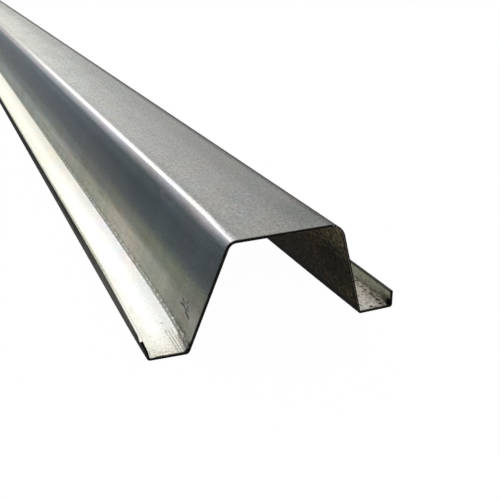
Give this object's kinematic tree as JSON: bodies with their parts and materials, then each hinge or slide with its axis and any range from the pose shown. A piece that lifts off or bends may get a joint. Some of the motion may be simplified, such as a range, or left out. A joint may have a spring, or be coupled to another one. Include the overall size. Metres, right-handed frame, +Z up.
{
  "type": "omega profile",
  "caption": "Cold-formed galvanised steel omega profile: a hat section with a flat crown, sloping webs and flat feet with upturned lips.",
  "frame": {"origin": "middle of the bar's length and width, on the plane under the feet", "axes": "+X across the section, +Y along the bar, +Z up through the crown"},
  "size_m": [0.1, 2, 0.04],
  "materials": {
    "galvanised_steel": "dull, fine-grained zinc coating, with raw dark cut ends"
  },
  "bodies": {
    "root": {"omega_profile": "galvanised_steel"}
  },
  "joints": []
}
